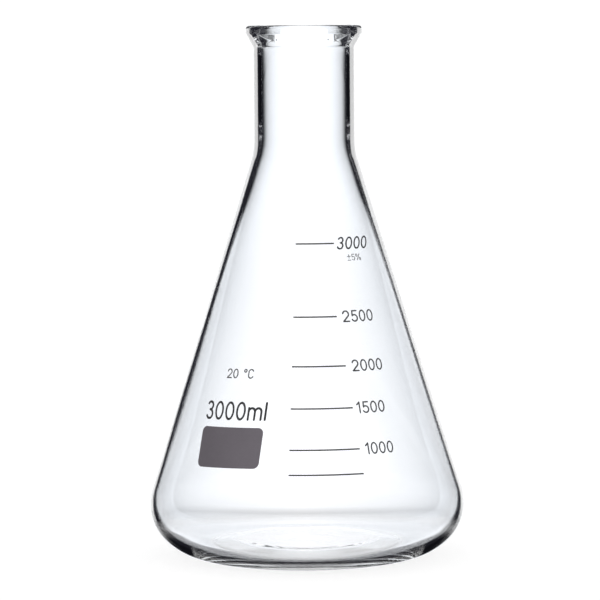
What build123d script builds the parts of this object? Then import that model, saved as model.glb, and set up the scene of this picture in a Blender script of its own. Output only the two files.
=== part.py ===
from build123d import *
import os
from math import atan2, cos, degrees, radians, sin, tan

# A narrow-neck conical flask: one blown glass body, and the enamel marks fired onto its side.
# Millimetres, +Z up. The origin is the centre of the foot ring, on the plane that the flask stands on.
# Azimuths are degrees round the axis from the front, which is -Y, towards +X.

# Glass body
base_diameter = 187.0  # widest, at the heel
total_height = 314.5
cone_half_angle = 17.3
neck_diameter = 59.5
side_wall = 2.4
neck_wall = 2.9
floor_thickness = 4.2

# Heel, where the side turns in to the foot: a tight arc at the side, then an easier one under it
heel_side_radius = 29.8
heel_foot_radius = 36.6
heel_break_angle = 45.6  # below the horizontal, where one arc hands over to the other
heel_wall = 3.4  # the glass thickens as it runs into the base

# Foot ring that the flask stands on, and the pushed-up base inside it
foot_ring_width = 3.0
foot_ring_edge_radius = 1.5
punt_height = 3.6
punt_slope_width = 14.0
punt_crown_radius = 20.0

# Shoulder and mouth
shoulder_radius = 40.0
rim_overhang = 4.5  # past the neck
rim_height = 12.6
rim_land = 5.0  # from the top to where the rim starts to taper in
rim_edge_radius = 2.4
rim_root_radius = 3.0
mouth_flare = 2.0  # how far the bore opens at the top
mouth_flare_depth = 9.0
mouth_edge_radius = 2.2
mouth_root_radius = 14.0

# Fired enamel
enamel_thickness = 0.15
line_width = 0.85
stroke_share = 0.125  # a stroke's width, as a share of the character's height
letter_gap_share = 0.14
word_space_share = 0.4
line_start_azimuth = -7.0

# Scale: label, share of the straight side's height, azimuth of the line's end, gap to the numerals
scale_rows = (
    ("3000", 0.759, 21.0, 0.8),
    ("2500", 0.546, 17.6, 3.4),
    ("2000", 0.403, 19.6, 3.8),
    ("1500", 0.282, 20.7, 2.1),
    ("1000", 0.164, 21.6, 3.3),
)
lowest_line_share = 0.093
lowest_line_end_azimuth = 22.0
numeral_height = 6.7
top_numeral_height = 7.2
top_numeral_slant = 17.0
tolerance_height = 3.8
tolerance_drop = 8.2  # its middle, below the top line
tolerance_azimuth = 35.5

# Prints to the left of the scale, one above another
left_azimuth = -33.5
left_turn = 1.5
temperature_height = 5.5
temperature_gap = 12.96  # above the capacity
capacity_height = 10.6
capacity_narrowing = 0.9
capacity_gap = 3.921  # above the marking spot
marking_spot_width = 42.0
marking_spot_height = 22.8
marking_spot_corner = 3.2
marking_spot_share = 0.165


# ---- Geometry of the section ----

shortest_edge = 0.001


def at(radius, angle, centre=(0, 0)):
    """The point at an angle, in degrees, round a centre."""
    return (centre[0] + radius * cos(radians(angle)), centre[1] + radius * sin(radians(angle)))


def meet(point_a, angle_a, point_b, angle_b):
    """Where two lines cross, each given by a point and an angle."""
    ax, ay = cos(radians(angle_a)), sin(radians(angle_a))
    bx, by = cos(radians(angle_b)), sin(radians(angle_b))
    dx, dy = point_b[0] - point_a[0], point_b[1] - point_a[1]
    along = (dx * by - dy * bx) / (ax * by - ay * bx)
    return (point_a[0] + along * ax, point_a[1] + along * ay)


def rounded_outline(first, corners, last):
    """Edges from first to last, with each (point, radius) corner between them rounded."""
    points = [Vector(p[0], 0, p[1]) for p in (first, *(point for point, _ in corners), last)]
    edges = []
    here = points[0]
    for before, corner, after, (_, radius) in zip(points, points[1:], points[2:], corners):
        back = (before - corner).normalized()
        ahead = (after - corner).normalized()
        half_angle = radians(back.get_angle(ahead)) / 2
        setback = radius / tan(half_angle)
        inward = (back + ahead).normalized()
        centre = corner + inward * (radius / sin(half_angle))
        start, end = corner + back * setback, corner + ahead * setback
        if (start - here).length > shortest_edge:
            edges.append(Line(here, start))
        else:
            start = here
        edges.append(ThreePointArc(start, centre - inward * radius, end))
        here = end
    edges.append(Line(here, points[-1]))
    return edges


side_angle = 90 + cone_half_angle
neck_radius = neck_diameter / 2
bore_radius = neck_radius - neck_wall


def heel_centre_height(ground, side_radius, foot_radius):
    """The height of the side arc's centre, for a heel that lands level on the ground."""
    return ground + foot_radius - (foot_radius - side_radius) * sin(radians(heel_break_angle))


def heel_corners(centre, ground, side_radius, foot_radius):
    """A heel's upper and lower corner, and the radius at which it lands level on the ground."""
    on_side = at(side_radius, cone_half_angle, centre)
    on_break = at(side_radius, -heel_break_angle, centre)
    break_line_angle = 90 - heel_break_angle
    upper = meet(on_side, side_angle, on_break, break_line_angle)
    lower = meet((0, ground), 0, on_break, break_line_angle)
    landing = centre[0] - (foot_radius - side_radius) * cos(radians(heel_break_angle))
    return upper, lower, landing


heel_centre = (
    base_diameter / 2 - heel_side_radius,
    heel_centre_height(0, heel_side_radius, heel_foot_radius),
)
side_foot = at(heel_side_radius, cone_half_angle, heel_centre)
shoulder_corner = meet(side_foot, side_angle, (neck_radius, 0), 90)
shoulder_setback = shoulder_radius * tan(radians(cone_half_angle / 2))
side_top_height = shoulder_corner[1] - shoulder_setback * cos(radians(cone_half_angle))


def outside_edges(punt_foot, punt_crown):
    """The section's outer edges, from the middle of the base to the top of the rim."""
    upper, lower, _ = heel_corners(heel_centre, 0, heel_side_radius, heel_foot_radius)
    rim_radius = neck_radius + rim_overhang
    corners = [
        (punt_crown, punt_crown_radius),
        (punt_foot, foot_ring_edge_radius),
        (lower, heel_foot_radius),
        (upper, heel_side_radius),
        (shoulder_corner, shoulder_radius),
        ((neck_radius, total_height - rim_height), rim_root_radius),
        ((rim_radius, total_height - rim_land), rim_edge_radius),
        ((rim_radius, total_height), rim_edge_radius),
    ]
    return rounded_outline((0, punt_height), corners, (neck_radius, total_height))


def inside_edges(punt_foot, punt_crown):
    """The section's inner edges, from the top of the rim down to the middle of the floor."""
    side_radius = heel_side_radius - heel_wall
    foot_radius = heel_foot_radius - heel_wall
    centre_height = heel_centre_height(floor_thickness, side_radius, foot_radius)
    wall_side = at(heel_side_radius - side_wall, cone_half_angle, heel_centre)
    reach = at(side_radius, cone_half_angle)
    side_contact = meet(wall_side, side_angle, (0, centre_height + reach[1]), 0)
    centre = (side_contact[0] - reach[0], centre_height)
    upper, lower, _ = heel_corners(centre, floor_thickness, side_radius, foot_radius)
    corners = [
        ((bore_radius + mouth_flare, total_height), mouth_edge_radius),
        ((bore_radius, total_height - mouth_flare_depth), mouth_root_radius),
        (meet(wall_side, side_angle, (bore_radius, 0), 90), shoulder_radius + neck_wall),
        (upper, side_radius),
        (lower, foot_radius),
        ((punt_foot[0], floor_thickness), punt_crown_radius),
        ((punt_crown[0], floor_thickness + punt_height), punt_crown_radius),
    ]
    return rounded_outline((neck_radius, total_height), corners, (0, floor_thickness + punt_height))


def glass_body():
    """The whole blown body, open at the mouth, as one revolved wall."""
    _, _, landing = heel_corners(heel_centre, 0, heel_side_radius, heel_foot_radius)
    punt_foot = (landing - foot_ring_width, 0)
    punt_crown = (punt_foot[0] - punt_slope_width, punt_height)
    axis_line = Line((0, 0, floor_thickness + punt_height), (0, 0, punt_height))
    outline = outside_edges(punt_foot, punt_crown) + inside_edges(punt_foot, punt_crown)
    return revolve(make_face(Wire([*outline, axis_line])), axis=Axis.Z)


# ---- Enamel on the straight side ----


def side_radius_at(height):
    """The glass's outer radius at a height on the straight side."""
    return side_foot[0] - (height - side_foot[1]) * tan(radians(cone_half_angle))


def height_at(share):
    """The height at a share of the straight side, from its foot."""
    return side_foot[1] + share * (side_top_height - side_foot[1])


def enamel_band(low, high, start, end):
    """A coat on the straight side between two heights and two azimuths."""
    out_x, out_z = at(enamel_thickness, cone_half_angle)
    coat = Vector(out_x, 0, out_z)
    inner_low = Vector(side_radius_at(low), 0, low)
    inner_high = Vector(side_radius_at(high), 0, high)
    section = make_face(Polyline(inner_low, inner_low + coat, inner_high + coat, inner_high, close=True))
    return Rot(0, 0, start - 90) * revolve(section, axis=Axis.Z, revolution_arc=end - start)


def scale_line(share, end):
    """One line of the scale, along a level circle of the side."""
    middle = height_at(share)
    return enamel_band(middle - line_width / 2, middle + line_width / 2, line_start_azimuth, end)


def enamel_print(shapes, azimuth, middle):
    """Flat shapes as enamel on the side, each carried straight in towards the axis at an azimuth."""
    outward = Vector(sin(radians(azimuth)), -cos(radians(azimuth)), 0)
    across = Vector(cos(radians(azimuth)), sin(radians(azimuth)), 0)
    print_plane = Plane(origin=(0, 0, middle), x_dir=across, z_dir=outward)
    radius = side_radius_at(middle)
    solids = []
    for shape in shapes:
        box = shape.bounding_box()
        margin = box.size.Y
        left = degrees((box.min.X - margin) / radius)
        right = degrees((box.max.X + margin) / radius)
        coat = enamel_band(
            middle + box.min.Y - line_width,
            middle + box.max.Y + line_width,
            azimuth + left,
            azimuth + right,
        )
        prism = extrude(print_plane * shape, amount=base_diameter)
        solids += (coat & prism).solids()
    return Compound(children=solids)


# ---- Characters, drawn 1 high and standing on Y = 0, with round-ended strokes ----

stroke = stroke_share
foot_line, head_line = stroke / 2, 1 - stroke / 2


def line_stroke(start, end):
    """A stroke along a line."""
    run = Vector(*end) - Vector(*start)
    middle = (Vector(*end) + Vector(*start)) / 2
    return Pos(middle) * Rot(0, 0, degrees(atan2(run.Y, run.X))) * SlotCenterToCenter(run.length, stroke)


def arc_stroke(centre, radius, start, sweep):
    """A stroke along an arc, from an angle."""
    return SlotArc(CenterArc(centre, radius, start, sweep), stroke)


def oval(centre, half_width, half_height):
    """A stroke round an oval, within its half sizes."""
    hole = Ellipse(half_width - stroke, half_height - stroke)
    return Pos(*centre) * (Ellipse(half_width, half_height) - hole)


def zero():
    return oval((0.33, 0.5), 0.33, 0.5), 0.66


def one():
    head = (0.32, head_line)
    return line_stroke((0.32, foot_line), head) + line_stroke(head, (0.1, 0.74)), 0.42


def two():
    bowl_radius, tail_angle = 0.26, -38
    bowl_centre = (0.33, head_line - bowl_radius)
    foot_left = (foot_line, foot_line)
    shape = arc_stroke(bowl_centre, bowl_radius, tail_angle, 203)
    shape += line_stroke(at(bowl_radius, tail_angle, bowl_centre), foot_left)
    return shape + line_stroke(foot_left, (0.6, foot_line)), 0.66


def three():
    upper_radius = 0.205
    lower_radius = (head_line - foot_line) / 2 - upper_radius
    shape = arc_stroke((0.31, head_line - upper_radius), upper_radius, -90, 240)
    return shape + arc_stroke((0.31, foot_line + lower_radius), lower_radius, -155, 245), 0.62


def five():
    bowl_radius, waist_angle = 0.27, 135
    bowl_centre = (0.32, foot_line + bowl_radius)
    head_left = (0.16, head_line)
    shape = arc_stroke(bowl_centre, bowl_radius, -150, waist_angle + 150)
    shape += line_stroke(at(bowl_radius, waist_angle, bowl_centre), head_left)
    return shape + line_stroke(head_left, (0.57, head_line)), 0.65


def small_m():
    width, arch_foot = 0.95, 0.46
    stems = (foot_line, width / 2, width - foot_line)
    arch = (stems[1] - stems[0]) / 2
    shape = line_stroke((stems[0], foot_line), (stems[0], arch_foot + arch))
    for stem in stems[1:]:
        shape += line_stroke((stem, foot_line), (stem, arch_foot))
        shape += arc_stroke((stem - arch, arch_foot), arch, 0, 180)
    return shape, width


def small_l():
    return line_stroke((foot_line, foot_line), (foot_line, head_line)), stroke


def capital_c():
    turn_radius = 0.27
    left = 0.33 - turn_radius
    low_centre, high_centre = foot_line + turn_radius, head_line - turn_radius
    shape = arc_stroke((0.33, high_centre), turn_radius, 25, 155)
    shape += arc_stroke((0.33, low_centre), turn_radius, 180, 155)
    return shape + line_stroke((left, low_centre), (left, high_centre)), 0.63


def degree():
    return oval((0.2, 0.8), 0.2, 0.2), 0.4


def plus_minus():
    left, right, middle = foot_line, 0.62 - foot_line, 0.31
    shape = line_stroke((left, 0.63), (right, 0.63)) + line_stroke((middle, 0.37), (middle, 0.89))
    return Sketch() + [shape, line_stroke((left, foot_line), (right, foot_line))], 0.62


def percent():
    ovals = [oval((0.2, 0.76), 0.2, 0.24), oval((0.8, 0.24), 0.2, 0.24)]
    return Sketch() + [*ovals, line_stroke((0.24, foot_line), (0.76, head_line))], 1.0


def space():
    return None, word_space_share


characters = {
    "0": zero,
    "1": one,
    "2": two,
    "3": three,
    "5": five,
    "m": small_m,
    "l": small_l,
    "C": capital_c,
    "°": degree,
    "±": plus_minus,
    "%": percent,
    " ": space,
}


def word(text, height, slant=0.0, turn=0.0, narrowing=1.0):
    """The text's characters as flat shapes centred on the origin, and the text's width."""
    drawn = [characters[letter]() for letter in text]
    gap = letter_gap_share * height
    total = sum(width for _, width in drawn) * height + gap * (len(drawn) - 1)
    overlean = height * tan(radians(slant))
    lean = Matrix([[narrowing, tan(radians(slant)), 0, 0], [0, 1, 0, 0], [0, 0, 1, 0]])
    shapes = []
    start = -total / 2
    for shape, width in drawn:
        if shape is not None:
            placed = Pos(start, -height / 2) * shape.scale(height, about=(0, 0, 0))
            if slant or narrowing != 1:
                placed = placed.transform_geometry(lean)
            shapes.append(Rot(0, 0, turn) * placed)
        start += width * height + gap
    return shapes, total * narrowing + overlean


# ---- Prints ----


def numerals(label, share, line_end, gap):
    """A scale line's numerals, set a gap past the line's end."""
    if label == scale_rows[0][0]:
        shapes, width = word(label, top_numeral_height, top_numeral_slant)
    else:
        shapes, width = word(label, numeral_height)
    middle = height_at(share)
    azimuth = line_end + degrees((gap + width / 2) / side_radius_at(middle))
    return enamel_print(shapes, azimuth, middle)


def tolerance_mark():
    """The small mark under the top line's numerals."""
    shapes, _ = word("±5%", tolerance_height)
    top_line_height = height_at(scale_rows[0][1])
    return enamel_print(shapes, tolerance_azimuth, top_line_height - tolerance_drop)


def left_words(text, height, middle, narrowing=1.0):
    """Words in the stack to the left of the scale."""
    shapes, _ = word(text, height, turn=left_turn, narrowing=narrowing)
    return enamel_print(shapes, left_azimuth, middle)


def marking_spot():
    """The plain patch for writing on, at the foot of the left stack."""
    patch = RectangleRounded(marking_spot_width, marking_spot_height, marking_spot_corner)
    return enamel_print([Rot(0, 0, left_turn) * patch], left_azimuth, marking_spot_middle)


marking_spot_middle = height_at(marking_spot_share)
capacity_middle = marking_spot_middle + marking_spot_height / 2 + capacity_gap + capacity_height / 2
temperature_middle = capacity_middle + capacity_height / 2 + temperature_gap + temperature_height / 2

nodes = {"glass_body": glass_body()}
for label, share, line_end, gap in scale_rows:
    nodes[f"line_{label}"] = scale_line(share, line_end)
    nodes[f"numerals_{label}"] = numerals(label, share, line_end, gap)
nodes["line_lowest"] = scale_line(lowest_line_share, lowest_line_end_azimuth)
nodes["tolerance_mark"] = tolerance_mark()
nodes["temperature_mark"] = left_words("20 °C", temperature_height, temperature_middle)
nodes["capacity_mark"] = left_words("3000ml", capacity_height, capacity_middle, capacity_narrowing)
nodes["marking_spot"] = marking_spot()

os.makedirs("parts", exist_ok=True)
for name, shape in nodes.items():
    export_step(shape, f"parts/{name}.step")
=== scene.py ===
from math import cos, degrees, pi, radians, sin, sqrt, tan

import bmesh
import bpy
from bpy.props import FloatProperty, FloatVectorProperty, IntProperty, PointerProperty
from mathutils import Matrix, Quaternion, Vector, noise


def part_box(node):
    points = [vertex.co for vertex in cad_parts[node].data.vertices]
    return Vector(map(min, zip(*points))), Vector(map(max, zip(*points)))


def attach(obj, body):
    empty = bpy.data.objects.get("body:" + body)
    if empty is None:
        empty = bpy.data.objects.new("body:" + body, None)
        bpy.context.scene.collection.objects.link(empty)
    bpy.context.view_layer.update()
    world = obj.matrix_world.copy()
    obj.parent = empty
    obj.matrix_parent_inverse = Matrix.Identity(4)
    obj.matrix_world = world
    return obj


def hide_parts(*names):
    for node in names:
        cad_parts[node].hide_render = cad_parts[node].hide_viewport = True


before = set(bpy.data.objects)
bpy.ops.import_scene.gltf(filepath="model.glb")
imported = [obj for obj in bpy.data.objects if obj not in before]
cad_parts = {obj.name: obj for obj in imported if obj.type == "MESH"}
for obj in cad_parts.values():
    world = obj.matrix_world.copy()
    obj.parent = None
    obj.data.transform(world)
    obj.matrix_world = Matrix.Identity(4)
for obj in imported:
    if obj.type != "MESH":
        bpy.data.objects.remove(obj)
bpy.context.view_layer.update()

bl_info = {
    "name": "Conical flask",
    "version": (1, 0, 0),
    "blender": (4, 5, 0),
    "location": "3D View > Sidebar > Flask",
    "description": "Blown glass, fired enamel and the studio of a narrow-neck conical flask",
    "category": "Object",
}

MM = 0.001

glass_low, glass_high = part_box("glass_body")
CAD_DIAMETER = glass_high.x - glass_low.x
CAD_HEIGHT = glass_high.z - glass_low.z

# ---- The wall's section, in metres and degrees ----

# The heel is two arcs that meet at the break angle below level
HEEL_SIDE_RADIUS = 29.8 * MM
HEEL_FOOT_RADIUS = 36.6 * MM
HEEL_BREAK_ANGLE = 45.6
HEEL_WALL = 3.4 * MM
# The base is pushed up inside the foot ring
PUNT_INSET = 3.0 * MM
PUNT_SLOPE = 14.0 * MM
PUNT_HEIGHT = 3.6 * MM
PUNT_ARC = 20.0 * MM
FOOT_RING_ARC = 1.5 * MM
SHOULDER_ARC = 40.0 * MM
# The rim, by how far it stands out from the neck and by depths below its top
RIM_OVERHANG = 4.5 * MM
RIM_START = 12.6 * MM
RIM_START_ARC = 3.0 * MM
RIM_WIDEST = 5.0 * MM
RIM_ARC = 2.4 * MM
LIP_WIDTH = 2.0 * MM
LIP_ARC = 2.2 * MM
MOUTH_DEPTH = 9.0 * MM
MOUTH_ARC = 14.0 * MM
# The longest straight step and the widest turn between two points
LONGEST_STEP = 5 * MM
TURN_STEP = 3.0
# Where the cone ends and the neck begins
CONE_TOP = 236 * MM
# Shorter runs than this are left out, and a ring this near the axis is one point
SMALLEST = 1e-6

# ---- What blowing leaves in the glass ----

FLOOR_TOP = 20 * MM
# The wall's wander: waves round it, waves up it in a metre, and where it calms below the rim
WANDER_ROUND = 1.6
WANDER_UP = 14
WANDER_CALM = 30 * MM
# The floor's swirl: its reach, its radians over that reach, and how it bends round the axis
SWIRL_REACH = 60 * MM
SWIRL_TURN = 19
SWIRL_BEND, SWIRL_BEND_START = 1.3, 0.7
SWIRL_LOBES = 0.8
SWIRL_SHARE = 0.5
SWIRL_RISE, SWIRL_FADE = 4, 0.92
GRAIN_ROUND, GRAIN_LAYER = 2.4, 3.1
# The seeds, by degrees from the front towards +X
SEED_AZIMUTHS = (-30.3, 26.7)
SEED_SUBDIVISIONS = 3

# ---- How the glass clears at its edge and at grazing ----

GLASS_IOR = 1.474
EDGE_SLOPE = 90.0
GRAZE_SLOPE = 10.0
# Facing at which the bore starts to clear: on the side, less on the -X side, where shade is
# painted, and in the neck
GRAZE_SIDE = 0.81
GRAZE_PAINTED_SHADE = 0.08
GRAZE_NECK = 0.55
# How much less of the radius the clear edge takes on the -X side: painted shade that darkens the
# line there, as if light fell from +X
PAINTED_SHADE_EDGE = 0.011
# The painted shade is on the side towards -X: the cosines of its angle between which it comes in
PAINTED_SHADE_ROUND = (-0.3, 0.9)
# Heights between which each comes in
PAINTED_SHADE_RISE = (30 * MM, 100 * MM)
EDGE_RISE = (8 * MM, 35 * MM)
BORE_RISE = (15 * MM, 30 * MM)
# Depths below the top between which the edge, then the bore, stops clearing
LIP_DEPTHS = (2.5 * MM, 1 * MM)
RIM_DEPTHS = (13 * MM, 9 * MM)
# Depths below the cone's top between which the neck's value comes in
NECK_GRAZE_DEPTHS = (66 * MM, 10 * MM)

# ---- The enamel ----

CLOUD_SCALE = 60
GRAIN_DETAIL = 4
GLOSS_LOW, GLOSS_SWING = 0.34, 0.2
PEEL_STRENGTH, PEEL_HEIGHT = 0.25, 0.04 * MM
# How far towards -X the marking spot's middle is, where the painted light across the spot adds
# nothing
SPOT_SIDE = 0.046

# ---- The lit card ----

# Its brightness, by how far outside the flask's outline: beside the neck, then beside the cone
NECK_SHADES = (
    (0, 1.25),
    (8 * MM, 1.15),
    (16 * MM, 1.02),
    (24 * MM, 0.85),
    (30 * MM, 0.6),
    (35 * MM, 0.33),
    (42 * MM, 0.08),
    (50 * MM, 0.01),
)
SIDE_SHADES = (
    (0, 1.12),
    (16 * MM, 1.08),
    (28 * MM, 1.15),
    (38 * MM, 1.5),
    (45 * MM, 1.6),
    (50 * MM, 0.8),
    (55 * MM, 0.12),
    (61 * MM, 0.01),
)
# Depths below the rim between which the cone's shades give way to the neck's
NECK_SHADE_DEPTHS = (165 * MM, 90 * MM)
# How much of its light is left near its foot, by height: a soft band shows behind the heel
HEEL_SHADES = (
    (8 * MM, 0.8),
    (12 * MM, 0.72),
    (15.5 * MM, 0.6),
    (18.5 * MM, 0.72),
    (23 * MM, 0.87),
    (37 * MM, 1),
)
# How much narrower its margin is at the foot, and the heights between which it widens
FOOT_NARROWING = 0.25
FOOT_RISE = (2 * MM, 12 * MM)
# Points of the arch over the rim, as shares of the rim's radius, and the arch's power
ARCH_SHARES = (0.97, 0.9, 0.8, 0.6, 0.3, 0)
ARCH_POWER = 3
# The outline's points nearer the middle than this are left out
OUTLINE_START = 1 * MM
# How far from the middle the left edge's shift is whole
SHIFT_WITHIN = 20 * MM
# A face whose two long edges are together shorter than this is left out
SHORTEST_EDGES = 1e-7
MERGE_DISTANCE = 1e-6

# ---- The floor, the studio and the camera ----

# How much of the floor the glass sees, by distance from the axis in metres. From 62 to 96 mm,
# where it sees none, the dark studio shows through as a painted shadow round the foot
FLOOR_SEEN = ((0.054, 1.0), (0.062, 0.0), (0.096, 0.0), (0.1, 0.3), (0.116, 0.3), (0.124, 0.0))
FLOOR_SEGMENTS = 96
# The soft light all round, as the camera and plain surfaces see it
STUDIO_GREY = 0.9
STUDIO_STRENGTH = 1.2
SENSOR_WIDTH = 36
CLIP_NEAR, CLIP_FAR = 0.05, 50
# How far light is followed through the glass
GLASS_BOUNCES = 40
CLEAR_BOUNCES = 32
GLOSS_BOUNCES = 24


# ---- Settings ----


def length(name, description, default, low=0.0):
    """A property that holds a length in metres."""
    return FloatProperty(
        name=name, description=description, default=default, min=low, unit="LENGTH", precision=5
    )


def angle_property(name, description, default):
    """A property that holds an angle, given in degrees."""
    return FloatProperty(
        name=name, description=description, default=radians(default), subtype="ANGLE"
    )


def colour(name, description, default):
    """A property that holds a colour."""
    return FloatVectorProperty(
        name=name,
        description=description,
        default=default,
        subtype="COLOR",
        size=3,
        min=0,
        max=1,
    )


def number(name, description, default, **limits):
    """A property that holds a plain number."""
    return FloatProperty(name=name, description=description, default=default, **limits)


class FlaskGlassSettings(bpy.types.PropertyGroup):
    """Sizes and tints of the blown glass body."""

    diameter: length("Diameter", "Widest, at the heel", CAD_DIAMETER)
    height: length("Height", "From the foot ring to the top of the rim", CAD_HEIGHT)
    cone_half_angle: angle_property("Cone half angle", "Of the side to the axis", 17.3)
    neck_diameter: length("Neck diameter", "Outside the neck", 0.0595)
    side_wall: length("Side wall", "Thickness of the cone's wall", 0.0024)
    neck_wall: length("Neck wall", "Thickness of the neck's wall", 0.0029)
    floor_thickness: length("Floor", "Thickness of the floor", 0.0042)
    floor_ripple: length(
        "Floor ripple", "Height of the swirl that blowing leaves in the floor", 0.00025
    )
    wall_ripple: length("Wall ripple", "How far the inside wanders from true", 0.00005)
    streak_depth: length(
        "Streak depth", "Of the streaks that blowing leaves in the surface", 0.00004
    )
    seed_diameter: length("Seed", "Diameter of the two seeds in the rim", 0.0009)
    seed_radius: length("Seeds' radius", "From the axis to the seeds", 0.0312)
    seed_drop: length("Seeds' drop", "Below the top of the rim", 0.0083)
    segments: IntProperty(name="Segments", description="Round the axis", default=280, min=32)
    tint: colour("Tint", "Colour of the glass looked straight through", (0.985, 0.99, 1.0))
    edge_clear: number("Clear edge", "How much of the backdrop shows in the outermost wall", 0.75)


class FlaskEnamelSettings(bpy.types.PropertyGroup):
    """Colours of the fired enamel."""

    dense: colour("Dense ink", "Of the top numerals and the capacity", (0.045, 0.045, 0.048))
    numeral: colour("Numerals' ink", "Of the other numerals", (0.075, 0.075, 0.078))
    line: number("Lines' ink", "Grey of the scale's lines", 0.08, min=0, max=1)
    small: colour("Small ink", "Of the temperature", (0.10, 0.10, 0.102))
    faint: colour("Faint ink", "Of the tolerance", (0.22, 0.22, 0.225))
    spot: colour("Marking spot", "The spot to write on", (0.135, 0.12, 0.138))
    # Painted light: the marking spot grows lighter towards +X, as if light fell from there.
    spot_painted_light: number("Spot painted light", "How the spot pales towards +X, a metre", 7.0)
    mottle: number("Mottle", "How uneven the enamel's colour is", 0.3, min=0, max=1)


class FlaskStageSettings(bpy.types.PropertyGroup):
    """The floor, the light and the camera."""

    floor_radius: length("Floor radius", "Of the pale floor", 3.0)
    floor_colour: colour("Floor colour", "Of the pale floor", (0.22, 0.22, 0.22))
    floor_glow: number("Floor glow", "Light that comes up through the floor", 0.81)
    studio_dark: colour(
        "Studio", "The studio out of the light, as the glass sees it", (0.015, 0.015, 0.02)
    )
    light_strength: number("Light", "Strength of the soft light all round", 1.0)
    card_hue: colour("Card hue", "Of the lit card towards its edge", (0.945, 0.972, 1.0))
    card_middle: number("Card middle", "Brightness down the card's middle", 1.4)
    card_rise: length("Card rise", "How far the card stands above the rim's middle", 0.15)
    card_shift: length("Card shift", "How much nearer the card's left edge stands", 0.006)
    card_distance: length("Card distance", "Behind the axis", 0.22)
    camera_distance: length("Camera distance", "In front of the axis", 2.0)
    camera_height: length("Camera height", "Above the floor", 0.3146)
    camera_side: length("Camera side", "Off the axis, towards +X", -0.0033, low=-1.0)
    aim_height: length("Aim height", "Where the camera looks on the axis", 0.152)
    camera_roll: angle_property("Camera roll", "Lean of the picture", -0.41)
    lens: number("Lens", "Focal length on a 36 mm sensor", 203.0, unit="CAMERA")


# ---- The section of the wall ----


def at(radius, angle, centre=(0, 0)):
    """The point at an angle, in degrees, round a centre."""
    return (centre[0] + radius * cos(radians(angle)), centre[1] + radius * sin(radians(angle)))


def meet(point_a, angle_a, point_b, angle_b):
    """Where two lines cross, each given by a point and an angle."""
    ax, ay = cos(radians(angle_a)), sin(radians(angle_a))
    bx, by = cos(radians(angle_b)), sin(radians(angle_b))
    dx, dy = point_b[0] - point_a[0], point_b[1] - point_a[1]
    along = (dx * by - dy * bx) / (ax * by - ay * bx)
    return (point_a[0] + along * ax, point_a[1] + along * ay)


def turned(spoke, angle):
    """A vector in the section's plane, turned by an angle in radians."""
    return Vector(
        (
            spoke.x * cos(angle) - spoke.y * sin(angle),
            spoke.x * sin(angle) + spoke.y * cos(angle),
        )
    )


def rounded_path(first, corners, last):
    """Points along a line whose (point, radius) corners are rounded, near enough for glass."""
    points = [Vector(p) for p in (first, *(point for point, _ in corners), last)]
    path = [points[0]]

    def run_to(end):
        start = path[-1]
        span = end - start
        steps = max(1, round(span.length / LONGEST_STEP))
        if span.length > SMALLEST:
            path.extend(start + span * (i / steps) for i in range(1, steps + 1))

    for before, corner, after, (_, radius) in zip(points, points[1:], points[2:], corners):
        back, ahead = (before - corner).normalized(), (after - corner).normalized()
        half_angle = back.angle(ahead) / 2
        setback = radius / tan(half_angle)
        centre = corner + (back + ahead).normalized() * (radius / sin(half_angle))
        run_to(corner + back * setback)
        spoke = path[-1] - centre
        turn = spoke.angle_signed(corner + ahead * setback - centre)
        steps = max(3, round(abs(degrees(turn)) / TURN_STEP))
        path.extend(centre + turned(spoke, -turn * i / steps) for i in range(1, steps + 1))
    run_to(points[-1])
    return path


def heel_height(ground, side_radius, foot_radius):
    """The height of the heel's upper arc's centre, for a heel that lands on a ground."""
    return ground + foot_radius - (foot_radius - side_radius) * sin(radians(HEEL_BREAK_ANGLE))


def heel_corners(centre, ground, side_radius, foot_radius, half_angle):
    """A heel's upper and lower corner, and the radius at which it lands level."""
    on_side = at(side_radius, half_angle, centre)
    on_break = at(side_radius, -HEEL_BREAK_ANGLE, centre)
    upper = meet(on_side, 90 + half_angle, on_break, 90 - HEEL_BREAK_ANGLE)
    lower = meet((0, ground), 0, on_break, 90 - HEEL_BREAK_ANGLE)
    landing = centre[0] - (foot_radius - side_radius) * cos(radians(HEEL_BREAK_ANGLE))
    return upper, lower, landing


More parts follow.
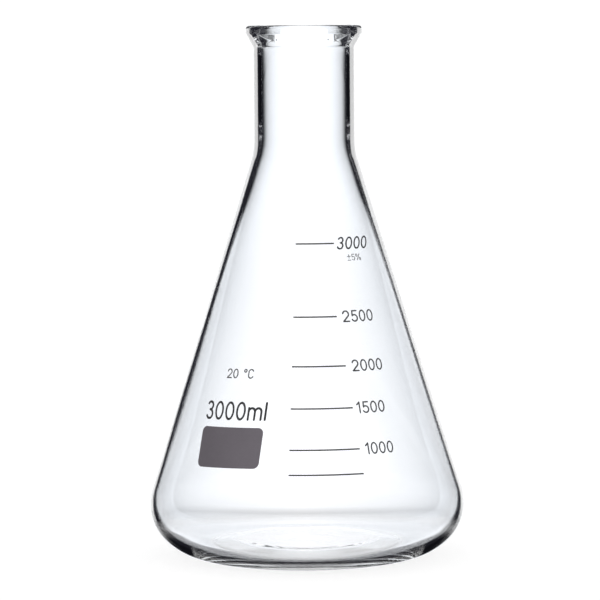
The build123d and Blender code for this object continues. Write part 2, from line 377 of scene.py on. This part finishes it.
def glass_section(glass):
    """The outside and the inside of the wall as lists of (radius, height) in metres."""
    half_angle = degrees(glass.cone_half_angle)
    side_angle = 90 + half_angle
    neck_radius = glass.neck_diameter / 2
    bore_radius = neck_radius - glass.neck_wall
    height = glass.height

    centre = (
        glass.diameter / 2 - HEEL_SIDE_RADIUS,
        heel_height(0, HEEL_SIDE_RADIUS, HEEL_FOOT_RADIUS),
    )
    upper, lower, landing = heel_corners(
        centre, 0, HEEL_SIDE_RADIUS, HEEL_FOOT_RADIUS, half_angle
    )
    side_foot = at(HEEL_SIDE_RADIUS, half_angle, centre)
    shoulder = meet(side_foot, side_angle, (neck_radius, 0), 90)
    punt_foot = landing - PUNT_INSET
    punt_crown = punt_foot - PUNT_SLOPE
    rim_radius = neck_radius + RIM_OVERHANG
    outside = rounded_path(
        (0, PUNT_HEIGHT),
        [
            ((punt_crown, PUNT_HEIGHT), PUNT_ARC),
            ((punt_foot, 0), FOOT_RING_ARC),
            (lower, HEEL_FOOT_RADIUS),
            (upper, HEEL_SIDE_RADIUS),
            (shoulder, SHOULDER_ARC),
            ((neck_radius, height - RIM_START), RIM_START_ARC),
            ((rim_radius, height - RIM_WIDEST), RIM_ARC),
            ((rim_radius, height), RIM_ARC),
        ],
        (neck_radius, height),
    )

    ground = glass.floor_thickness
    in_side, in_foot = HEEL_SIDE_RADIUS - HEEL_WALL, HEEL_FOOT_RADIUS - HEEL_WALL
    in_height = heel_height(ground, in_side, in_foot)
    wall_side = at(HEEL_SIDE_RADIUS - glass.side_wall, half_angle, centre)
    reach = at(in_side, half_angle)
    contact = meet(wall_side, side_angle, (0, in_height + reach[1]), 0)
    in_centre = (contact[0] - reach[0], in_height)
    in_upper, in_lower, _ = heel_corners(in_centre, ground, in_side, in_foot, half_angle)
    in_shoulder = meet(wall_side, side_angle, (bore_radius, 0), 90)
    inside = rounded_path(
        (neck_radius, height),
        [
            ((bore_radius + LIP_WIDTH, height), LIP_ARC),
            ((bore_radius, height - MOUTH_DEPTH), MOUTH_ARC),
            (in_shoulder, SHOULDER_ARC + glass.neck_wall),
            (in_upper, in_side),
            (in_lower, in_foot),
            ((punt_foot, ground), PUNT_ARC),
            ((punt_crown, ground + PUNT_HEIGHT), PUNT_ARC),
        ],
        (0, ground + PUNT_HEIGHT),
    )
    return outside, inside[1:]


# ---- Meshes of the glass ----


def step_up(value, low, high):
    """0 below low, 1 above high, and smooth between."""
    t = min(1, max(0, (value - low) / (high - low)))
    return t * t * (3 - 2 * t)


def step_near(top, height, depths):
    """A step up between two depths below a top."""
    return step_up(height, top - depths[0], top - depths[1])


def blown_offset(radius, height, angle, glass):
    """How far a point of the inside moves, outward and up, as blown glass does."""
    if height > FLOOR_TOP:
        x, y = cos(angle) * WANDER_ROUND, sin(angle) * WANDER_ROUND
        wander = noise.noise(Vector((x, y, height * WANDER_UP))) * glass.wall_ripple
        return wander * min(1, (glass.height - height) / WANDER_CALM), 0
    out = radius / SWIRL_REACH
    turn = out * SWIRL_TURN + SWIRL_BEND * sin(angle + SWIRL_BEND_START)
    swirl = sin(turn + SWIRL_LOBES * sin(2 * angle)) * SWIRL_SHARE
    x, y = cos(angle) * out * GRAIN_ROUND, sin(angle) * out * GRAIN_ROUND
    grain = noise.noise(Vector((x, y, GRAIN_LAYER)))
    fade = max(0, 1 - out * SWIRL_FADE) * min(1, out * SWIRL_RISE)
    return 0, (swirl + grain) * glass.floor_ripple * fade


def painted_shade_side(height, angle):
    """1 up the side towards -X, where shade is painted into how the glass clears, as if light fell
    from +X, and 0 opposite and at the heel.
    """
    return step_up(-cos(angle), *PAINTED_SHADE_ROUND) * step_up(height, *PAINTED_SHADE_RISE)


def outside_values(radius, height, angle, glass):
    """The bore's share of the radius, and how much the edge clears, at a point outside."""
    cone_wall = glass.side_wall / cos(glass.cone_half_angle)
    wall = glass.neck_wall if height > CONE_TOP else cone_wall
    # The -X side's painted shade: the clear edge there takes less of the radius.
    ratio = (radius - wall) / max(radius, wall) + PAINTED_SHADE_EDGE * painted_shade_side(height, angle)
    lip = step_near(glass.height, height, LIP_DEPTHS)
    return ratio, step_up(height, *EDGE_RISE) * (1 - lip)


def inside_values(height, angle, glass):
    """The facing at which the bore starts to clear, and how much it does, at a point inside."""
    # The -X side's painted shade: the bore there starts to clear at a lower facing.
    side = GRAZE_SIDE - GRAZE_PAINTED_SHADE * painted_shade_side(height, angle)
    neck = step_near(CONE_TOP, height, NECK_GRAZE_DEPTHS)
    rim = step_near(glass.height, height, RIM_DEPTHS)
    return side + (GRAZE_NECK - side) * neck, step_up(height, *BORE_RISE) * (1 - rim)


def point_at(radius, height, angle):
    """The place of a section's point, turned round the axis."""
    return (radius * cos(angle), radius * sin(angle), height)


def add_face(bm, corners):
    """A face between corners, less any that repeat."""
    bm.faces.new([v for i, v in enumerate(corners) if v not in corners[:i]])


def spin_rings(bm, rings, segments):
    """Quads between rings of points round the axis. Returns the rings' vertices."""
    angles = [2 * pi * k / segments for k in range(segments)]
    made = []
    for radius, height in rings:
        if radius < SMALLEST:
            made.append([bm.verts.new((0, 0, height))])
        else:
            made.append([bm.verts.new(point_at(radius, height, angle)) for angle in angles])
    for lower, upper in zip(made, made[1:]):
        for k in range(segments):
            n = (k + 1) % segments
            near, far = lower[k % len(lower)], lower[n % len(lower)]
            add_face(bm, [near, far, upper[n % len(upper)], upper[k % len(upper)]])
    return made


def spin_glass(bm, glass):
    """The glass body: its section spun round the axis, with the values its material reads."""
    outside, inside = glass_section(glass)
    wall_ratio, edge_share, bore_share, graze_start = (
        bm.verts.layers.float.new(name)
        for name in ("wall_ratio", "edge_share", "bore_share", "graze_start")
    )
    rings = [tuple(p) for p in outside + inside]
    made = spin_rings(bm, rings, glass.segments)
    for i, ((radius, height), ring) in enumerate(zip(rings, made)):
        for k, vert in enumerate(ring):
            angle = 2 * pi * k / glass.segments
            if i < len(outside):
                values = outside_values(radius, height, angle, glass)
                vert[wall_ratio], vert[edge_share] = values
                continue
            vert[graze_start], vert[bore_share] = inside_values(height, angle, glass)
            if len(ring) > 1:
                out, up = blown_offset(radius, height, angle, glass)
                vert.co = point_at(radius + out, height + up, angle)
    bmesh.ops.recalc_face_normals(bm, faces=bm.faces)


def seed_bubbles(bm, glass):
    """The two seeds, with their faces turned inward, because they are air in the glass."""
    for azimuth in SEED_AZIMUTHS:
        angle = radians(azimuth)
        middle = Vector((sin(angle), -cos(angle), 0)) * glass.seed_radius
        middle.z = glass.height - glass.seed_drop
        bmesh.ops.create_icosphere(
            bm,
            subdivisions=SEED_SUBDIVISIONS,
            radius=glass.seed_diameter / 2,
            matrix=Matrix.Translation(middle),
        )
    bmesh.ops.reverse_faces(bm, faces=bm.faces)


def mesh_object(name, bm, material):
    """An object in the scene from a bmesh, which is freed."""
    mesh = bpy.data.meshes.new(name)
    bm.to_mesh(mesh)
    bm.free()
    mesh.materials.append(material)
    made = bpy.data.objects.new(name, mesh)
    bpy.context.scene.collection.objects.link(made)
    return made


def glass_piece(name, build, glass):
    """A smooth shaded piece of clear glass, from a bmesh that build fills."""
    bm = bmesh.new()
    build(bm, glass)
    for face in bm.faces:
        face.smooth = True
    return mesh_object(name, bm, clear_glass(glass))


# ---- Materials ----


def new_material(name):
    """A node material with only its output and a Principled shader."""
    material = bpy.data.materials.new(name)
    material.use_nodes = True
    tree = material.node_tree
    return material, tree, tree.nodes["Principled BSDF"]


def set_inputs(node, **values):
    """Set a node's inputs, named with _ for a space, to plain values."""
    for name, value in values.items():
        node.inputs[name.replace("_", " ")].default_value = value


def new_group(name, inputs, outputs):
    """A shader node group with named sockets, given as (name, type, default)."""
    group = bpy.data.node_groups.new(name, "ShaderNodeTree")
    for label, kind, default in inputs:
        socket = group.interface.new_socket(name=label, in_out="INPUT", socket_type=kind)
        socket.default_value = default
    for label, kind in outputs:
        group.interface.new_socket(name=label, in_out="OUTPUT", socket_type=kind)
    return group, group.nodes.new("NodeGroupInput"), group.nodes.new("NodeGroupOutput")


def place_group(tree, name, make, **values):
    """A group node with its own values. The group is made the first time it is placed."""
    node = tree.nodes.new("ShaderNodeGroup")
    node.node_tree = bpy.data.node_groups.get(name) or make(name)
    set_inputs(node, **values)
    return node


def math_node(tree, operation, first, second=None, clamp=False):
    """A Math node whose inputs are sockets or numbers, as its output socket."""
    node = tree.nodes.new("ShaderNodeMath")
    node.operation = operation
    node.use_clamp = clamp
    for socket, value in zip(node.inputs, (first, second)):
        if isinstance(value, bpy.types.NodeSocket):
            tree.links.new(value, socket)
        elif value is not None:
            socket.default_value = value
    return node.outputs[0]


def grey_ramp(tree, factor, stops):
    """A Color Ramp with (position, grey) stops, as its colour socket."""
    node = tree.nodes.new("ShaderNodeValToRGB")
    elements = node.color_ramp.elements
    while len(elements) < len(stops):
        elements.new(0.5)
    for element, (position, grey) in zip(elements, stops):
        element.position = position
        element.color = (grey, grey, grey, 1)
    tree.links.new(factor, node.inputs[0])
    return node.outputs[0]


def mix_colours(tree, factor, first, second):
    """A Mix node of two plain colours by a socket, as its colour socket."""
    node = tree.nodes.new("ShaderNodeMix")
    node.data_type = "RGBA"
    tree.links.new(factor, node.inputs[0])
    node.inputs[6].default_value, node.inputs[7].default_value = first, second
    return node.outputs[2]


def vertex_value(tree, name, output="Fac"):
    """A value stored on the mesh's points, as its socket."""
    node = tree.nodes.new("ShaderNodeAttribute")
    node.attribute_name = name
    return node.outputs[output]


def noise_texture(tree, vector, **values):
    """A noise's value at a vector."""
    node = tree.nodes.new("ShaderNodeTexNoise")
    tree.links.new(vector, node.inputs["Vector"])
    set_inputs(node, **values)
    return node


def bump(tree, height, shader, **values):
    """A Bump node from a height to a shader's normal."""
    node = tree.nodes.new("ShaderNodeBump")
    set_inputs(node, **values)
    tree.links.new(height, node.inputs["Height"])
    tree.links.new(node.outputs["Normal"], shader.inputs["Normal"])


def blown_glass_group(name):
    """Blown glass: faint streaks drawn out by the blowing, as a height."""
    group, inlet, outlet = new_group(
        name,
        [("Streak Scale", "NodeSocketFloat", 40.0), ("Draw", "NodeSocketFloat", 0.2)],
        [("Height", "NodeSocketFloat")],
    )
    coordinates = group.nodes.new("ShaderNodeTexCoord")
    parts = group.nodes.new("ShaderNodeSeparateXYZ")
    group.links.new(coordinates.outputs["Object"], parts.inputs[0])
    drawn = group.nodes.new("ShaderNodeCombineXYZ")
    for axis in ("X", "Y"):
        group.links.new(parts.outputs[axis], drawn.inputs[axis])
    drawn_height = math_node(group, "MULTIPLY", parts.outputs["Z"], inlet.outputs["Draw"])
    group.links.new(drawn_height, drawn.inputs["Z"])
    streaks = noise_texture(group, drawn.outputs[0], Detail=1)
    group.links.new(inlet.outputs["Streak Scale"], streaks.inputs["Scale"])
    group.links.new(streaks.outputs["Fac"], outlet.inputs["Height"])
    return group


def clear_glass(glass):
    """Borosilicate glass that clears in its outermost wall and where its bore is grazed."""
    material, tree, shader = new_material("clear_glass")
    set_inputs(
        shader,
        Base_Color=(*glass.tint, 1),
        Roughness=0.0,
        IOR=GLASS_IOR,
        Metallic=0.0,
        Transmission_Weight=1.0,
    )
    blown = place_group(tree, "Blown glass", blown_glass_group)
    bump(tree, blown.outputs["Height"], shader, Distance=glass.streak_depth)

    weight = tree.nodes.new("ShaderNodeLayerWeight")
    weight.inputs["Blend"].default_value = 0.5
    facing = weight.outputs["Facing"]
    square_on = math_node(tree, "SUBTRACT", 1.0, facing)
    slant = math_node(tree, "SINE", math_node(tree, "ARCCOSINE", square_on))
    past_bore = math_node(tree, "SUBTRACT", slant, vertex_value(tree, "wall_ratio"))
    edge = math_node(tree, "MULTIPLY", past_bore, EDGE_SLOPE, clamp=True)
    edge = math_node(tree, "MULTIPLY", edge, vertex_value(tree, "edge_share"))
    edge = math_node(tree, "MULTIPLY", edge, glass.edge_clear)
    past_start = math_node(tree, "SUBTRACT", facing, vertex_value(tree, "graze_start"))
    graze = math_node(tree, "MULTIPLY", past_start, GRAZE_SLOPE, clamp=True)
    graze = math_node(tree, "MULTIPLY", graze, vertex_value(tree, "bore_share"))
    alpha = math_node(tree, "SUBTRACT", 1.0, math_node(tree, "MAXIMUM", edge, graze))
    tree.links.new(alpha, shader.inputs["Alpha"])
    return material


def enamel_group(name):
    """Fired enamel: a mottled colour, painted light that makes it lighter towards +X, a gloss and
    a fine orange peel.
    """
    group, inlet, outlet = new_group(
        name,
        [
            ("Ink", "NodeSocketColor", (0.05, 0.05, 0.05, 1)),
            ("Mottle", "NodeSocketFloat", 0.2),
            ("Grain Scale", "NodeSocketFloat", 900.0),
            ("Drift", "NodeSocketFloat", 0.0),
        ],
        [
            ("Color", "NodeSocketColor"),
            ("Roughness", "NodeSocketFloat"),
            ("Height", "NodeSocketFloat"),
        ],
    )
    place = group.nodes.new("ShaderNodeTexCoord").outputs["Object"]
    parts = group.nodes.new("ShaderNodeSeparateXYZ")
    group.links.new(place, parts.inputs[0])
    grain = noise_texture(group, place, Detail=GRAIN_DETAIL)
    group.links.new(inlet.outputs["Grain Scale"], grain.inputs["Scale"])
    cloud = noise_texture(group, place, Scale=CLOUD_SCALE)
    both = math_node(group, "ADD", grain.outputs["Fac"], cloud.outputs["Fac"])
    uneven = math_node(group, "MULTIPLY", both, 0.5)

    off_middle = math_node(group, "SUBTRACT", uneven, 0.5)
    mottle = math_node(group, "MULTIPLY", off_middle, inlet.outputs["Mottle"])
    # Painted light: the colour grows lighter towards +X from the spot's middle.
    from_spot = math_node(group, "ADD", parts.outputs["X"], SPOT_SIDE)
    across = math_node(group, "MULTIPLY", from_spot, inlet.outputs["Drift"])
    swing = math_node(group, "ADD", math_node(group, "ADD", 1.0, mottle), across)
    scaled = group.nodes.new("ShaderNodeVectorMath")
    scaled.operation = "SCALE"
    group.links.new(inlet.outputs["Ink"], scaled.inputs[0])
    group.links.new(swing, scaled.inputs["Scale"])
    group.links.new(scaled.outputs[0], outlet.inputs["Color"])

    gloss_swing = math_node(group, "MULTIPLY", uneven, GLOSS_SWING)
    gloss = math_node(group, "ADD", GLOSS_LOW, gloss_swing)
    group.links.new(gloss, outlet.inputs["Roughness"])
    group.links.new(grain.outputs["Fac"], outlet.inputs["Height"])
    return group


def enamel_material(name, ink, mottle, painted_light):
    """One enamel ink, whose colour grows lighter towards +X and darker towards -X by a share a
    metre: painted light.
    """
    material, tree, shader = new_material(name)
    coat = place_group(
        tree, "Fired enamel", enamel_group, Ink=(*ink, 1), Mottle=mottle, Drift=painted_light
    )
    tree.links.new(coat.outputs["Color"], shader.inputs["Base Color"])
    tree.links.new(coat.outputs["Roughness"], shader.inputs["Roughness"])
    bump(tree, coat.outputs["Height"], shader, Strength=PEEL_STRENGTH, Distance=PEEL_HEIGHT)
    return material


def fire(inks, enamel, painted_light=0):
    """Give the CAD's enamel nodes their inks, a name and a colour each, with any painted light
    towards +X.
    """
    for name, ink in inks.items():
        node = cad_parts[name]
        node.data.materials.clear()
        node.data.materials.append(enamel_material("enamel_" + name, ink, enamel.mottle, painted_light))


# ---- The lit card ----


def card_spread(stage):
    """How much larger the flask's outline is on the card, seen from the camera."""
    return (stage.camera_distance + stage.card_distance) / stage.camera_distance


def card_outline(glass, stage):
    """The flask's outline on the card, from the middle of the foot up to the middle of the rim."""
    outside, _ = glass_section(glass)
    spread = card_spread(stage)
    drop = stage.camera_height / stage.camera_distance
    outline = []
    for before, point, after in zip(outside, outside[1:], outside[2:]):
        run, rise = after.x - before.x, after.y - before.y
        if rise <= 0 and not outline:
            continue
        towards_front = min(1, run / rise * drop) if rise > 0 and run > 0 else 0
        across = point.x * sqrt(1 - towards_front**2)
        height = point.y - point.x * towards_front * drop
        outline.append((across * spread, (height - stage.aim_height) * spread, point.y))
    outline = [p for p in outline if p[0] > OUTLINE_START]
    rim, top, _ = outline[-1]
    arch = [
        (rim * share, top + stage.card_rise * (1 - share**ARCH_POWER), glass.height)
        for share in ARCH_SHARES
    ]
    return [(0, outline[0][1], 0)] + outline + arch


def outline_direction(outline, i):
    """Which way the outline runs at one of its points: level at both ends, on the middle."""
    if outline[i][0] == 0:
        return Vector((1, 0)) if i == 0 else Vector((-1, 0))
    ax, ay, _ = outline[max(0, i - 1)]
    bx, by, _ = outline[min(len(outline) - 1, i + 1)]
    return Vector((bx - ax, by - ay)).normalized()


def heel_shade(height):
    """The share of light at a height of the card, between the rows of HEEL_SHADES."""
    for (low, low_share), (high, high_share) in zip(HEEL_SHADES, HEEL_SHADES[1:]):
        if height < high:
            along = max(0, (height - low) / (high - low))
            return low_share + (high_share - low_share) * along
    return 1


def card_mesh(glass, stage):
    """The card as a bmesh: bands from its middle out past the outline, and their mirror."""
    bm = bmesh.new()
    glow = bm.verts.layers.float_vector.new("glow")

    def add(x, y, light, hue):
        vert = bm.verts.new((x, y, 0))
        vert[glow] = [light * share for share in hue]
        return vert

    outline = card_outline(glass, stage)
    spread = card_spread(stage)
    shares = [heel_shade(y / spread + stage.aim_height) for _, y, _ in outline]
    middle = [
        add(0, y, stage.card_middle * share, (1, 1, 1))
        for (_, y, _), share in zip(outline, shares)
    ]
    bands = [middle]
    for (near, near_light), (side, side_light) in zip(NECK_SHADES, SIDE_SHADES):
        band = []
        for i, (x, y, height) in enumerate(outline):
            along = outline_direction(outline, i)
            neck = step_near(glass.height, height, NECK_SHADE_DEPTHS)
            width = 1 - FOOT_NARROWING + FOOT_NARROWING * step_up(height, *FOOT_RISE)
            offset = (side + (near - side) * neck) * width
            light = (side_light + (near_light - side_light) * neck) * sqrt(shares[i])
            place = (x + along.y * offset, y - along.x * offset)
            band.append(add(*place, light, stage.card_hue))
        bands.append(band)
    for inner, outer in zip(bands, bands[1:]):
        for a, b, c, d in zip(inner, inner[1:], outer[1:], outer):
            if (a.co - b.co).length + (c.co - d.co).length > SHORTEST_EDGES:
                add_face(bm, [a, b, c, d])
    half = bm.verts[:] + bm.edges[:] + bm.faces[:]
    bmesh.ops.mirror(bm, geom=half, axis="X", merge_dist=MERGE_DISTANCE)
    for vert in bm.verts:
        if vert.co.x < 0:
            vert.co.x += stage.card_shift * min(1, -vert.co.x / SHIFT_WITHIN)
    return bm


def lit_card(glass, stage):
    """The card behind the flask, which glows and which neither the camera nor the floor sees."""
    material, tree, shader = new_material("lit_card")
    set_inputs(
        shader, Base_Color=(0, 0, 0, 1), Specular_IOR_Level=0, Emission_Strength=1
    )
    tree.links.new(vertex_value(tree, "glow", "Vector"), shader.inputs["Emission Color"])
    card = mesh_object("lit_card", card_mesh(glass, stage), material)
    card.location = (0, 0, -stage.card_distance)
    card.visible_camera = card.visible_diffuse = card.visible_shadow = False
    return card


# ---- The stage ----


def plain_rays(tree):
    """1 for the camera's rays and light scattered by a surface, 0 for rays through glass."""
    path = tree.nodes.new("ShaderNodeLightPath")
    camera, scattered = path.outputs["Is Camera Ray"], path.outputs["Diffuse Depth"]
    return math_node(tree, "MAXIMUM", camera, scattered, clamp=True)


def lay_floor(stage):
    """The pale floor, which the glass sees only under and round its foot, with a painted shadow
    ring between, where it sees the dark studio instead.
    """
    material, tree, shader = new_material("pale_floor")
    set_inputs(
        shader,
        Base_Color=(*stage.floor_colour, 1),
        Roughness=1.0,
        Specular_IOR_Level=0.0,
        Emission_Color=(1, 1, 1, 1),
        Emission_Strength=stage.floor_glow,
    )
    place = tree.nodes.new("ShaderNodeNewGeometry")
    out = tree.nodes.new("ShaderNodeVectorMath")
    out.operation = "LENGTH"
    tree.links.new(place.outputs["Position"], out.inputs[0])
    # Painted shadow: in a ring round the foot the glass sees through the floor to the dark studio.
    under_foot = grey_ramp(tree, out.outputs["Value"], FLOOR_SEEN)
    seen = math_node(tree, "MAXIMUM", plain_rays(tree), under_foot)
    tree.links.new(seen, shader.inputs["Alpha"])
    bm = bmesh.new()
    bmesh.ops.create_circle(
        bm, cap_ends=True, radius=stage.floor_radius, segments=FLOOR_SEGMENTS
    )
    mesh_object("floor", bm, material)


def light_studio(stage):
    """Soft light all round, from a studio that the glass sees as dark."""
    world = bpy.data.worlds.new("studio")
    bpy.context.scene.world = world
    world.use_nodes = True
    tree = world.node_tree
    background = tree.nodes["Background"]
    dark, pale = (*stage.studio_dark, 1), (STUDIO_GREY, STUDIO_GREY, STUDIO_GREY, 1)
    air = mix_colours(tree, plain_rays(tree), dark, pale)
    tree.links.new(air, background.inputs["Color"])
    background.inputs["Strength"].default_value = STUDIO_STRENGTH * stage.light_strength


def set_camera(stage):
    """The camera, in front of the flask and a little above its rim."""
    scene = bpy.context.scene
    data = bpy.data.cameras.new("camera")
    camera = bpy.data.objects.new("camera", data)
    scene.collection.objects.link(camera)
    data.sensor_width = SENSOR_WIDTH
    data.lens = stage.lens
    data.clip_start, data.clip_end = CLIP_NEAR, CLIP_FAR
    camera.location = (stage.camera_side, -stage.camera_distance, stage.camera_height)
    aim = Vector((stage.camera_side, 0, stage.aim_height)) - camera.location
    roll = Quaternion((0, 0, 1), stage.camera_roll)
    camera.rotation_mode = "QUATERNION"
    camera.rotation_quaternion = aim.to_track_quat("-Z", "Y") @ roll
    scene.camera = camera
    return camera


def hang_card(glass, stage, camera):
    """The lit card, on a pivot that turns as the camera does."""
    card = lit_card(glass, stage)
    pivot = bpy.data.objects.new("card_pivot", None)
    bpy.context.scene.collection.objects.link(pivot)
    pivot.location = (stage.camera_side, 0, stage.aim_height)
    pivot.constraints.new("COPY_ROTATION").target = camera
    card.parent = pivot


# ---- Operators ----


class FLASK_OT_glass(bpy.types.Operator):
    """Blow the glass body round the CAD section"""

    bl_idname = "flask.glass"
    bl_label = "Blow the glass"

    def execute(self, context):
        piece = glass_piece("flask_glass", spin_glass, context.scene.flask_glass)
        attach(piece, "root")
        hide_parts("glass_body")
        return {"FINISHED"}


class FLASK_OT_seeds(bpy.types.Operator):
    """Leave the two seeds, small bubbles, in the front of the rim"""

    bl_idname = "flask.seeds"
    bl_label = "Leave the seeds"

    def execute(self, context):
        piece = glass_piece("glass_seeds", seed_bubbles, context.scene.flask_glass)
        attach(piece, "root")
        return {"FINISHED"}


class FLASK_OT_lines(bpy.types.Operator):
    """Fire the six lines of the scale"""

    bl_idname = "flask.lines"
    bl_label = "Fire the scale's lines"

    def execute(self, context):
        enamel = context.scene.flask_enamel
        rows = ("3000", "2500", "2000", "1500", "1000", "lowest")
        fire({"line_" + row: (enamel.line,) * 3 for row in rows}, enamel)
        return {"FINISHED"}


class FLASK_OT_numerals(bpy.types.Operator):
    """Fire the numerals beside the lines"""

    bl_idname = "flask.numerals"
    bl_label = "Fire the numerals"

    def execute(self, context):
        enamel = context.scene.flask_enamel
        inks = {"numerals_" + row: enamel.numeral for row in ("2500", "2000", "1500", "1000")}
        inks["numerals_3000"] = enamel.dense
        fire(inks, enamel)
        return {"FINISHED"}


class FLASK_OT_prints(bpy.types.Operator):
    """Fire the capacity, the temperature, the tolerance and the marking spot"""

    bl_idname = "flask.prints"
    bl_label = "Fire the other prints"

    def execute(self, context):
        enamel = context.scene.flask_enamel
        inks = {
            "capacity_mark": enamel.dense,
            "temperature_mark": enamel.small,
            "tolerance_mark": enamel.faint,
        }
        fire(inks, enamel)
        # The marking spot gets painted light, lighter towards +X.
        fire({"marking_spot": enamel.spot}, enamel, enamel.spot_painted_light)
        return {"FINISHED"}


class FLASK_OT_stage(bpy.types.Operator):
    """Set the pale floor, the soft light and the camera"""

    bl_idname = "flask.stage"
    bl_label = "Set the stage"

    def execute(self, context):
        scene = context.scene
        lay_floor(scene.flask_stage)
        light_studio(scene.flask_stage)
        camera = set_camera(scene.flask_stage)
        hang_card(scene.flask_glass, scene.flask_stage, camera)
        scene.view_settings.view_transform = "Standard"
        scene.cycles.max_bounces = GLASS_BOUNCES
        scene.cycles.transparent_max_bounces = CLEAR_BOUNCES
        scene.cycles.transmission_bounces = GLASS_BOUNCES
        scene.cycles.glossy_bounces = GLOSS_BOUNCES
        return {"FINISHED"}


class FLASK_PT_build(bpy.types.Panel):
    """The flask's pieces and its stage"""

    bl_label = "Conical flask"
    bl_idname = "FLASK_PT_build"
    bl_space_type = "VIEW_3D"
    bl_region_type = "UI"
    bl_category = "Flask"

    def draw(self, context):
        for operator in operators:
            self.layout.operator(operator.bl_idname)
        for group_name in settings_groups:
            settings = getattr(context.scene, group_name)
            column = self.layout.column()
            for name in settings.__annotations__:
                column.prop(settings, name)


operators = (
    FLASK_OT_glass,
    FLASK_OT_seeds,
    FLASK_OT_lines,
    FLASK_OT_numerals,
    FLASK_OT_prints,
    FLASK_OT_stage,
)
settings_groups = {
    "flask_glass": FlaskGlassSettings,
    "flask_enamel": FlaskEnamelSettings,
    "flask_stage": FlaskStageSettings,
}


def register():
    """Register the settings, the operators and the panel."""
    for name, group in settings_groups.items():
        bpy.utils.register_class(group)
        setattr(bpy.types.Scene, name, PointerProperty(type=group))
    for operator in operators:
        bpy.utils.register_class(operator)
    bpy.utils.register_class(FLASK_PT_build)


def unregister():
    """Take them away again."""
    bpy.utils.unregister_class(FLASK_PT_build)
    for operator in operators:
        bpy.utils.unregister_class(operator)
    for name, group in settings_groups.items():
        delattr(bpy.types.Scene, name)
        bpy.utils.unregister_class(group)


def main():
    """Build every piece and the stage."""
    register()
    bpy.ops.flask.glass()
    bpy.ops.flask.seeds()
    bpy.ops.flask.lines()
    bpy.ops.flask.numerals()
    bpy.ops.flask.prints()
    bpy.ops.flask.stage()


if __name__ == "__main__":
    main()
